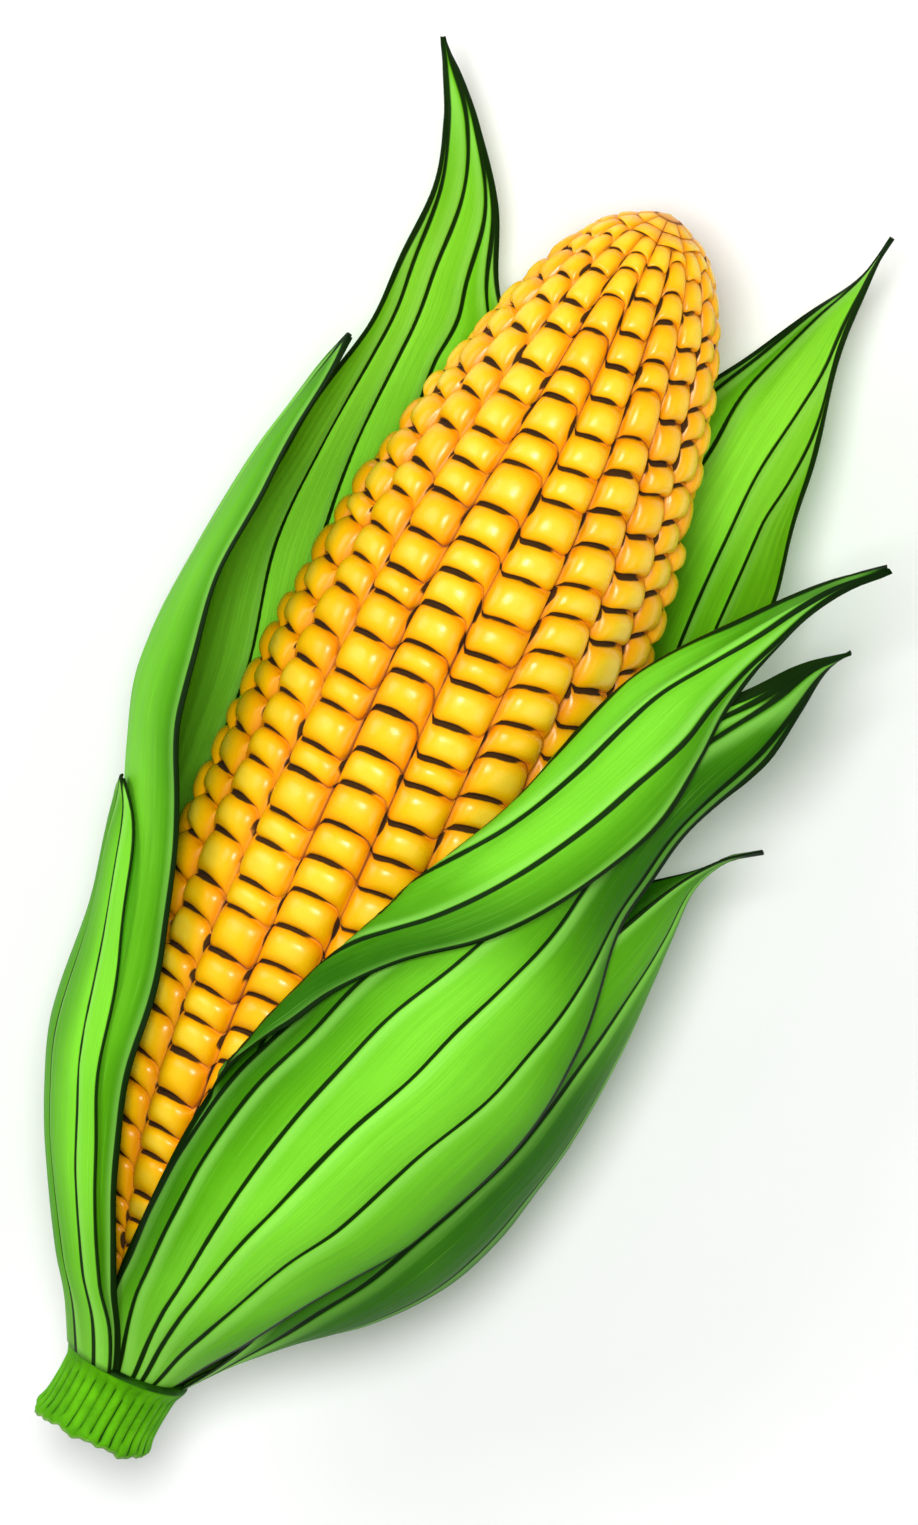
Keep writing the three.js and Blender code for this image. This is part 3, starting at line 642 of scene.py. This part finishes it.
def sheet_piece(name, middle, across, relief, values, material):
    """A thin closed leaf around its middle surface, nowhere below the table."""
    normals = grid_normals(middle)
    surface = middle + normals * relief[..., None]
    normals = grid_normals(surface)
    margin = np.minimum(1, EDGE_SHARPNESS * np.minimum(across, 1 - across))
    half = (EDGE_THICKNESS + (LEAF_THICKNESS - EDGE_THICKNESS) * margin) / 2
    outer = surface + normals * half[..., None]
    inner = surface - normals * half[..., None]
    outer[..., 2] = np.maximum(outer[..., 2], 0)
    inner[..., 2] = np.maximum(inner[..., 2], 2 * half)
    rows, columns = across.shape
    count = rows * columns
    sides = [grid_faces(rows, columns), grid_faces(rows, columns, count)[:, ::-1]]
    number = np.arange(count).reshape(rows, columns)
    rim = np.concatenate([number[0, :-1], number[:-1, -1], number[-1, :0:-1], number[:0:-1, 0]])
    after = np.roll(rim, -1)
    edge = np.stack([after, rim, rim + count, after + count], -1)
    points = np.concatenate([outer.reshape(-1, 3), inner.reshape(-1, 3)])
    faces = np.concatenate([*sides, edge])
    attributes = {key: np.tile(grid.ravel(), 2) for key, grid in values.items()}
    flat_from = len(faces) - len(edge)
    return add_piece(name + "_leaf", points, faces, attributes, material, name, flat_from)


def leaf_distances(stations):
    start, end = stations[0][0], stations[-1][0]
    return np.linspace(start, end, int((end - start) / LEAF_ROW))


def with_places(middle, distances, widths):
    """A leaf's middle surface with each point's share across, distance and local width."""
    columns = middle.shape[1]
    across, distance = np.meshgrid(np.linspace(0, 1, columns), distances)
    return middle, across, distance, np.repeat(widths[:, None], columns, 1)


def flat_leaf_grid(stations):
    """Middle surface of a plain leaf, evenly divided between its margins."""
    distances = leaf_distances(stations)
    left, left_radius, right, right_radius, bulge = smooth_through(stations, distances).T
    widths = np.radians(right - left) * (left_radius + right_radius) / 2
    columns = int(widths.max() / LEAF_COLUMN)
    t = np.linspace(0, 1, columns)[None, :]
    radius = left_radius[:, None] * (1 - t) + right_radius[:, None] * t + 4 * t * (1 - t) * bulge[:, None]
    angle = left[:, None] * (1 - t) + right[:, None] * t
    middle = ear_points(angle, radius, np.repeat(distances[:, None], columns, 1))
    return with_places(middle, distances, widths)


def folded_section(station):
    """Angles and radii across the folded leaf: its free margin, round the fold, its inner margin."""
    inner, inner_radius, fold, fold_radius, rolled, margin, margin_radius = station
    flap_steps, fold_steps, inner_steps = SECTION_SAMPLES
    rolled = min(max(rolled, 0), 1)
    back = np.linspace(1, 0, fold_steps)
    turn = np.pi * rolled * back
    out = inner_radius + fold_radius * (1 - np.cos(turn))
    sideways = -fold_radius * np.sin(turn) - (1 - rolled) * UNROLLED_STRIP * back
    fold_angles = fold + np.degrees(np.arctan2(sideways, out))
    fold_radii = np.hypot(out, sideways)
    t = np.linspace(1, 0, flap_steps)[:-1]
    flap_angles = fold_angles[0] + (margin - fold_angles[0]) * t
    flap_radii = fold_radii[0] + (margin_radius - fold_radii[0]) * smoothstep(0, 1, t)
    t = np.linspace(0, 1, inner_steps)[1:]
    inner_angles = fold + (inner - fold) * t
    inner_radii = np.full(inner_steps - 1, inner_radius)
    return (
        np.concatenate([flap_angles, fold_angles, inner_angles]),
        np.concatenate([flap_radii, fold_radii, inner_radii]),
    )


def folded_leaf_grid(stations):
    """Middle surface of the folded leaf, its columns evenly spaced across the unrolled leaf."""
    distances = leaf_distances(stations)
    sections = []
    for distance, station in zip(distances, smooth_through(stations, distances)):
        angles, radii = folded_section(station)
        points = ear_points(angles, radii, np.full(len(angles), distance))
        length = np.concatenate([[0], np.cumsum(np.linalg.norm(np.diff(points, axis=0), axis=1))])
        sections.append((points, length))
    columns = int(max(length[-1] for _, length in sections) / LEAF_COLUMN)
    t = np.linspace(0, 1, columns)
    middle = np.array([
        [np.interp(t * length[-1], length, points[:, axis]) for axis in range(3)]
        for points, length in sections
    ]).transpose(0, 2, 1)
    return with_places(middle, distances, np.array([length[-1] for _, length in sections]))


def leaf_piece(name, order):
    highlight_side, swell, margin_width, slot = LEAF_LOOKS[name]
    folded = name == "husk_folded"
    grid = folded_leaf_grid(FOLDED_LEAF) if folded else flat_leaf_grid(LEAVES[name])
    middle, across, distance, width = grid
    panel, room = vein_panels(name, across, distance, width)
    relief = swell * leaf_relief(across, distance, panel, room, WAVE_STEP * order)
    light = leaf_lightness(name, across, distance)
    values = {"panel": panel, "room": room, "along": distance, "light": light}
    if folded:
        crease = smooth_through(FOLD_CREASE, distance[:, 0])
        values["from_crease"] = (across - crease) * width
    greens = INNER_GREENS if name in PALE_LEAVES else OUTER_GREENS
    panels = len(VEINS[name][0])
    material = leaf_material(name + "_green", greens, panels, highlight_side, margin_width, folded)
    return sheet_piece(name, middle, across, relief, values, material)


for order, leaf_name in enumerate(LEAF_LOOKS):
    leaf_piece(leaf_name, order)


# Cob with its kernels ---------------------------

# Painted shade in the seams between the kernels.
SEAM_SHADE = rgba(0.012, 0.004, 0.0)


def kernel_material():
    """Glossy kernel: painted shade in near-black seams at its ends and dark grooves, orange sides, yellow
    crown with a painted highlight.
    """
    s = Shader("kernel_yellow")
    crown = s.attribute("crown")
    # The ramp paints shade into the grooves, dark brown, and a painted highlight, pale yellow, at each
    # crown's top.
    color = s.ramp(s.math("ADD", crown, s.spread(s.attribute("tone"), 0.22)), [
        (0.0, rgba(0.30, 0.07, 0.0)),
        (1.0, rgba(1.0, 0.66, 0.03)),
        (0.2, rgba(0.84, 0.29, 0.0)),
        (0.6, rgba(0.98, 0.45, 0.0)),
        (0.86, rgba(1.0, 0.56, 0.004)),
    ])
    rough_edge = s.spread(s.noise(420, 2), 0.3)
    seams = []
    for name in ("side", "end"):
        away = s.math("ADD", s.attribute("to_" + name), rough_edge)
        seams.append(s.between(s.math("SUBTRACT", s.attribute(name + "_seam"), away), -0.06, 0.1))
    seam = s.math("MULTIPLY", s.math("MAXIMUM", *seams), 0.95)
    s.put(s.surface.inputs["Base Color"], s.mix(seam, color, SEAM_SHADE))
    # Kernels shine on their crowns, less in the grooves, and not at all in the seams.
    gloss = s.between(s.noise(500, 2), 0.3, 0.7, 0.25, 0.35)
    groove = s.between(crown, 0.1, 0.35, 0.45, 0.0)
    s.put(s.surface.inputs["Roughness"], s.math("MAXIMUM", s.math("ADD", gloss, groove), seam))
    s.surface.inputs["Specular IOR Level"].default_value = 0.35
    s.surface.inputs["Subsurface Weight"].default_value = 0.06
    s.surface.inputs["Subsurface Radius"].default_value = (1.0, 0.45, 0.08)
    s.surface.inputs["Subsurface Scale"].default_value = 1.2 * MM
    s.put(s.surface.inputs["Normal"], s.bump(s.noise(650, 2), 0.12 * MM, 0.35))
    return s.material


def cob_outline():
    """Distances along the axis with the length of the cob's outline up to each."""
    distances = np.linspace(COB_PROFILE[0][0], COB_PROFILE[-1][0], OUTLINE_SAMPLES)
    radii = smooth_through(COB_PROFILE, distances)[:, 0]
    steps = np.hypot(np.diff(distances), np.diff(radii))
    return distances, np.concatenate([[0], np.cumsum(steps)])


def kernel_ends(random):
    """Distance of each kernel's ends in every row: rows staggered, all a little uneven."""
    distances, lengths = cob_outline()
    share = np.linspace(0, 1, KERNELS_IN_ROW + 1)
    size = 1 - 0.5 * smoothstep(0.82, 1.0, share) - 0.25 * (1 - smoothstep(0, 0.12, share))
    steps = np.concatenate([[0], np.cumsum((size[1:] + size[:-1]) / 2)])
    even = lengths[-1] * steps / steps[-1]
    pitch = np.gradient(even)
    inside = smoothstep(0, 0.05, share) * smoothstep(0, 0.04, 1 - share)
    rows = []
    for row in range(KERNEL_ROWS):
        stagger = STAGGER if row % 2 else -STAGGER
        uneven = random.uniform(-UNEVEN_END, UNEVEN_END, len(share))
        rows.append(np.interp(even + pitch * inside * (stagger + uneven), lengths, distances))
    rows = np.array(rows)
    # Near the tip rows run together in pairs, so both rows of a pair share their kernels' ends.
    pairs = (rows[0::2] + rows[1::2]) / 2
    together = np.repeat(pairs, 2, axis=0)
    return np.where(np.arange(len(share)) >= PAIRED_FROM, together, rows)


def crown_height(share, flatness, sharpness):
    """Height of a rounded crown, 0 at both ends of a share and 1 in its middle."""
    return (1 - np.abs(2 * share - 1) ** flatness) ** sharpness


def seam_reach(size, fade):
    """Half width of a seam in millimetres, below zero where there is none."""
    return size * fade - NO_SEAM * (1 - fade)


def kernel_shares(cells):
    """Shares of the way across one kernel, drawn together towards 0 and 1, where the grooves are."""
    share = np.linspace(0, 1, cells + 1)[:-1]
    return share - GROOVE_PULL * np.sin(2 * np.pi * share)


def kernel_places():
    """Places along a row, in kernels, with the kernel that each is in and how far along it."""
    along = kernel_shares(KERNEL_CELLS[1])
    place = np.append((np.arange(KERNELS_IN_ROW)[:, None] + along[None, :]).ravel(), KERNELS_IN_ROW)
    which = np.minimum(np.floor(place + TINY).astype(int), KERNELS_IN_ROW - 1)
    return place, which, place - which


def kernel_strip(row, side, lines, draws):
    """One line of points along the cob, at this share of the way across one row's kernels."""
    place, which, along = kernel_places()
    # A row's own ends in its middle, the mean of both rows' where two rows meet.
    neighbour = lines[(row - 1) % KERNEL_ROWS] if side < 0.5 else lines[(row + 1) % KERNEL_ROWS]
    blend = 0.5 * max(0, 1 - min(side, 1 - side) / MEETING_SHARE) ** 2
    line = lines[row] + (neighbour - lines[row]) * blend
    # Two paired rows make one row of kernels, with the draws of the first of the two.
    paired = which >= PAIRED_FROM
    share = np.where(paired, (row % 2 + side) / 2, side)
    leader = np.where(paired, row - row % 2, row)
    middle = place / KERNELS_IN_ROW
    away_from_ends = smoothstep(0, 0.08, middle) * smoothstep(0, 0.1, 1 - middle)
    dome = crown_height(share, *CROWN_ACROSS) * crown_height(along, *CROWN_ALONG)
    # Seams are broad at the corner next to the row before, and run out along both ways.
    side_fade = np.maximum(smoothstep(0.1, 0.75, along), 1 - smoothstep(0, 0.15, along))
    end_fade = smoothstep(-0.05, 0.12, share) * (1 - 0.9 * smoothstep(0.45, 1.05, share))
    return {
        "angle": np.full(len(place), (row + side) * 360 / KERNEL_ROWS),
        "distance": line + KERNEL_ARCH * crown_height(share, 2, 1) * away_from_ends,
        "height": dome * (1 + draws["grow"][leader, which]),
        "crown": np.sqrt(crown_height(share, 2, 1) * crown_height(along, 2, 1)),
        "tone": draws["tone"][leader, which],
        "to_side": np.minimum(share, 1 - share) * np.where(paired, 2, 1),
        "to_end": np.minimum(along, 1 - along),
        "side_seam": seam_reach(draws["side_seam"][leader, which], side_fade),
        "end_seam": seam_reach(draws["end_seam"][leader, which], end_fade),
    }


def row_wander(angle, distance):
    """Degrees that the rows stray at these places: nothing at the neck and at the tip."""
    turn = np.radians(angle)
    slow = np.sin(distance / SLOW_WANDER + 2 * turn)
    quick = 0.6 * np.sin(distance / QUICK_WANDER + 3 * turn + 1)
    return ROW_WANDER * (slow + quick) * smoothstep(5, 30, distance) * (1 - smoothstep(150, 175, distance))


def cob_piece():
    random = np.random.default_rng(RANDOM_SEED)
    ends = kernel_ends(random)
    kernels = (KERNEL_ROWS, KERNELS_IN_ROW)
    draws = {
        "grow": random.uniform(-UNEVEN_HEIGHT, UNEVEN_HEIGHT, kernels),
        "tone": random.uniform(0, 1, kernels),
        "side_seam": random.uniform(*SIDE_SEAM, kernels),
        "end_seam": random.uniform(*END_SEAM, kernels),
    }
    place, which, _ = kernel_places()
    numbers = np.arange(KERNELS_IN_ROW + 1)
    lines = [np.interp(place, numbers, row) for row in ends]
    sides = kernel_shares(KERNEL_CELLS[0])
    strips = [kernel_strip(row, side, lines, draws) for row in range(KERNEL_ROWS) for side in sides]
    grid = {key: np.stack([strip[key] for strip in strips], axis=1) for key in strips[0]}

    angle, distance = grid["angle"], grid["distance"]
    radius = smooth_through(COB_PROFILE, distance.ravel())[:, 0].reshape(distance.shape)
    row_width = 2 * np.pi * radius / KERNEL_ROWS
    steepness = np.where(which >= PAIRED_FROM, PAIRED_STEEPNESS, 1)[:, None]
    depth = np.minimum(KERNEL_HEIGHT, KERNEL_STEEPNESS * row_width * steepness)
    radius = np.maximum(radius + depth * (grid["height"] - 1), TIP_RADIUS)
    rings = ear_points(angle + row_wander(angle, distance), radius, distance)
    foot, tip = COB_PROFILE[0][0], COB_PROFILE[-1][0]
    rings[..., 0] += COB_BOW * smoothstep(BOW_START, tip, distance)
    points, faces = capped_tube(rings, axis_point(foot), axis_point(tip + TIP_RISE) + (COB_BOW, 0, 0))

    kernel_length = np.gradient(np.interp(place, numbers, ends.mean(axis=0)), place)[:, None]
    seam_share = np.clip((row_width - SEAM_ROOM[0]) / (SEAM_ROOM[1] - SEAM_ROOM[0]), 0, 1)
    attributes = {
        "crown": np.append(grid["crown"], [0, 1]),
        "tone": np.append(grid["tone"], [0.5, 0.5]),
        "to_side": np.append(grid["to_side"] * row_width, [0, 1]),
        "to_end": np.append(grid["to_end"] * kernel_length, [0, 1]),
        "side_seam": np.append(grid["side_seam"] * seam_share, [0, 0]),
        "end_seam": np.append(grid["end_seam"] * seam_share, [0, 0]),
    }
    return add_piece("cob_kernels", points, faces, attributes, kernel_material(), "cob")


cob_piece()


# Stem under the husk ----------------------------

RIND_SHADE = rgba(0.03, 0.18, 0.0)
PITH_DARK = rgba(0.38, 0.50, 0.15)
PITH_PALE = rgba(0.80, 0.84, 0.50)


def stem_material():
    """Green ribbed rind with painted shade towards its ends and under the leaves, and a pale, fibrous cut
    face.
    """
    s = Shader("stem_green")
    rind = s.ramp(s.attribute("rib"), [
        (0.0, rgba(0.002, 0.016, 0.0)),
        (1.0, rgba(0.135, 0.52, 0.003)),
        (0.3, rgba(0.01, 0.06, 0.0)),
        (0.5, rgba(0.075, 0.33, 0.0)),
    ])
    rind = s.mix(s.between(s.noise(240, 4), 0.35, 0.7, 0.0, 0.5), rind, RIND_SHADE)
    fibre = s.noise(1500, 3, 0.7)
    pith = s.ramp(fibre, [(0.3, PITH_DARK), (0.7, PITH_PALE)])
    s.put(s.surface.inputs["Base Color"], s.mix(s.attribute("cut"), rind, pith))
    s.surface.inputs["Roughness"].default_value = 0.6
    s.surface.inputs["Specular IOR Level"].default_value = 0.08
    s.put(s.surface.inputs["Normal"], s.bump(fibre, 0.3 * MM, 0.6))
    return s.material


def cut_rings(random, ragged):
    """Rings of the cut face from its middle out. A ring: radius, distance, rib and cut, 0 to 1."""
    rings = []
    for share in np.linspace(0.04, 1, CUT_RINGS):
        bumps = random.uniform(-CUT_BUMPS, CUT_BUMPS, len(ragged)) * (1 - share**6)
        distance = -STEM_LENGTH + CUT_DISH * (1 - share**3) + ragged * share**3 + bumps
        rings.append(((STEM_RADIUS - CUT_INSET) * share, distance, 1, 1))
    return rings


def rind_rings(ragged, rib, rib_end):
    """Rings of the ribbed rind, from the cut up to the shoulder under the leaves."""
    rings = []
    for t in np.linspace(0, 1, RIND_RINGS):
        flare = CUT_FLARE * np.exp(-((t / 0.16) ** 2)) + SHOULDER_FLARE * smoothstep(0.8, 1, t)
        flare = flare - STEM_WAIST * np.sin(np.pi * t)
        round_end = 0.5 * (1 - smoothstep(0, 0.08, t))
        groove = RIB_DEPTH * (1 - rib) * smoothstep(0.0, 0.06, t) * (1 - smoothstep(0.88, 0.98, t))
        radius = STEM_RADIUS - STEM_INSET + flare - round_end - groove
        distance = -STEM_LENGTH * (1 - t) + ragged * (1 - t) ** 2 + SHOULDER_RISE * t
        # The dark strokes between ribs are shorter than the grooves and end unevenly.
        shown = smoothstep(0.06, 0.16, t + rib_end[0]) * (1 - smoothstep(0.74, 0.86, t + rib_end[1]))
        # Painted shade: darker towards the cut and the shoulder, darkest where the rind meets the leaves.
        painted_shade = 0.3 * (1 - smoothstep(0.0, 0.35, t)) + 0.3 * smoothstep(0.6, 0.95, t)
        painted_shade = painted_shade + 0.5 * smoothstep(0.95, 1, t)
        cut = 0.35 * (1 - smoothstep(0, 0.05, t))
        rings.append((radius, distance, 1 - (1 - rib) * shown - painted_shade, cut))
    return rings


def stem_piece():
    random = np.random.default_rng(RANDOM_SEED + 1)
    columns = STEM_RIBS * SAMPLES_PER_RIB
    angle = np.linspace(0, 360, columns, endpoint=False)
    turn = np.radians(angle)
    ragged = sum(
        height * np.sin(number * turn + random.uniform(0, 2 * np.pi)) for number, height in RAGGED_WAVES
    )
    rib_strength = np.repeat(random.uniform(*RIB_STRENGTH, STEM_RIBS), SAMPLES_PER_RIB)
    rib_strength = np.roll(rib_strength, SAMPLES_PER_RIB // 2)
    rib_end = np.repeat(random.uniform(-RIB_END, RIB_END, (2, STEM_RIBS)), SAMPLES_PER_RIB, axis=1)
    rib = 1 - rib_strength * (1 - np.abs(np.sin(turn * STEM_RIBS / 2)) ** 0.5)
    core = [(CORE_RADIUS + CORE_TAPER[0], SHOULDER[-1][1]), (CORE_RADIUS + CORE_TAPER[1], CORE_TOP)]
    rings = cut_rings(random, ragged) + rind_rings(ragged, rib, rib_end)
    rings += [(radius, distance, 0, 0) for radius, distance in [*SHOULDER, *core]]
    radius, distance, ribs, cut = (
        np.array([np.broadcast_to(ring[k], columns) for ring in rings], float) for k in range(4)
    )
    grid = ear_points(np.repeat(angle[None, :], len(rings), 0), radius, distance)
    points, faces = capped_tube(grid, axis_point(-STEM_LENGTH + CUT_DISH), axis_point(CORE_TOP))
    attributes = {"rib": np.append(ribs, [1, 1]), "cut": np.append(cut, [1, 0])}
    return add_piece("stem_rind", points, faces, attributes, stem_material(), "stem")


stem_piece()


# Floor, light and camera ------------------------

FLOOR_SIZE = 3.0          # metres
FLOOR_GREYS = (rgba(0.93, 0.93, 0.93), rgba(0.97, 0.97, 0.97))
LIGHT_TARGET = (0, 0, 0.03)
LIGHTS = {                # place and diameter in metres, power in watts
    "key": ((-0.08, 0.26, 1.1), 0.3, 8.8),
    "left_fill": ((-0.65, 0.1, 0.5), 0.5, 2.4),
    "right_fill": ((0.6, 0.0, 0.6), 0.5, 1.3),
}
WORLD_STRENGTH = 0.24
CAMERA_TILT = 12.0        # from straight down, towards the cob's tip
CAMERA_ROLL = 24.6        # clockwise lean of the ear in the picture
CAMERA_LENS = 250.0
SENSOR_HEIGHT = 24.0
VIEW_HEIGHT = 213.5       # millimetres of the object's plane that the picture's height takes in
VIEW_CENTRE = (5.9, 99.3) # millimetres: to the right of the axis, and from the neck


def add_floor():
    s = Shader("floor_white")
    grey = s.ramp(s.noise(30, 2), [(0.0, FLOOR_GREYS[0]), (1.0, FLOOR_GREYS[1])])
    s.put(s.surface.inputs["Base Color"], grey)
    s.surface.inputs["Roughness"].default_value = 0.9
    half = FLOOR_SIZE / 2
    corners = [(-half, -half, 0), (half, -half, 0), (half, half, 0), (-half, half, 0)]
    mesh = bpy.data.meshes.new("floor")
    mesh.from_pydata(corners, [], [(0, 1, 2, 3)])
    mesh.materials.append(s.material)
    floor = bpy.data.objects.new("floor", mesh)
    bpy.context.scene.collection.objects.link(floor)


def add_light(name, place, size, power):
    light = bpy.data.lights.new(name, "AREA")
    light.shape = "DISK"
    light.size = size
    light.energy = power
    lamp = bpy.data.objects.new(name, light)
    lamp.location = place
    lamp.rotation_euler = (Vector(LIGHT_TARGET) - Vector(place)).to_track_quat("-Z", "Y").to_euler()
    bpy.context.scene.collection.objects.link(lamp)


def add_camera():
    """A long lens that looks down on the ear, tilted towards the tip and rolled to the ear's lean."""
    tilt, roll = math.radians(CAMERA_TILT), math.radians(CAMERA_ROLL)
    backward = Vector((0, math.sin(tilt), math.cos(tilt)))
    up_ear = Vector((0, math.cos(tilt), -math.sin(tilt)))
    sideways = Vector((1, 0, 0))
    right = sideways * math.cos(roll) + up_ear * math.sin(roll)
    up = up_ear * math.cos(roll) - sideways * math.sin(roll)
    camera = bpy.data.cameras.new("camera")
    camera.lens = CAMERA_LENS
    camera.sensor_fit = "VERTICAL"
    camera.sensor_height = SENSOR_HEIGHT
    distance = CAMERA_LENS * VIEW_HEIGHT / SENSOR_HEIGHT * MM
    camera.clip_start = 0.1
    camera.clip_end = 20
    target = Vector((VIEW_CENTRE[0], VIEW_CENTRE[1] - NECK_TO_ORIGIN, AXIS_HEIGHT)) * MM
    eye = bpy.data.objects.new("camera", camera)
    place = target + backward * distance
    turn = Matrix((right, up, backward)).transposed().to_4x4()
    eye.matrix_world = Matrix.Translation(place) @ turn
    bpy.context.scene.collection.objects.link(eye)
    bpy.context.scene.camera = eye


def add_world():
    world = bpy.data.worlds.new("world")
    bpy.context.scene.world = world
    world.use_nodes = True
    background = world.node_tree.nodes["Background"]
    background.inputs["Color"].default_value = rgba(1, 1, 1)
    background.inputs["Strength"].default_value = WORLD_STRENGTH


add_floor()
for light_name, (place, size, power) in LIGHTS.items():
    add_light(light_name, place, size, power)
add_camera()
add_world()
bpy.context.scene.view_settings.view_transform = "Standard"
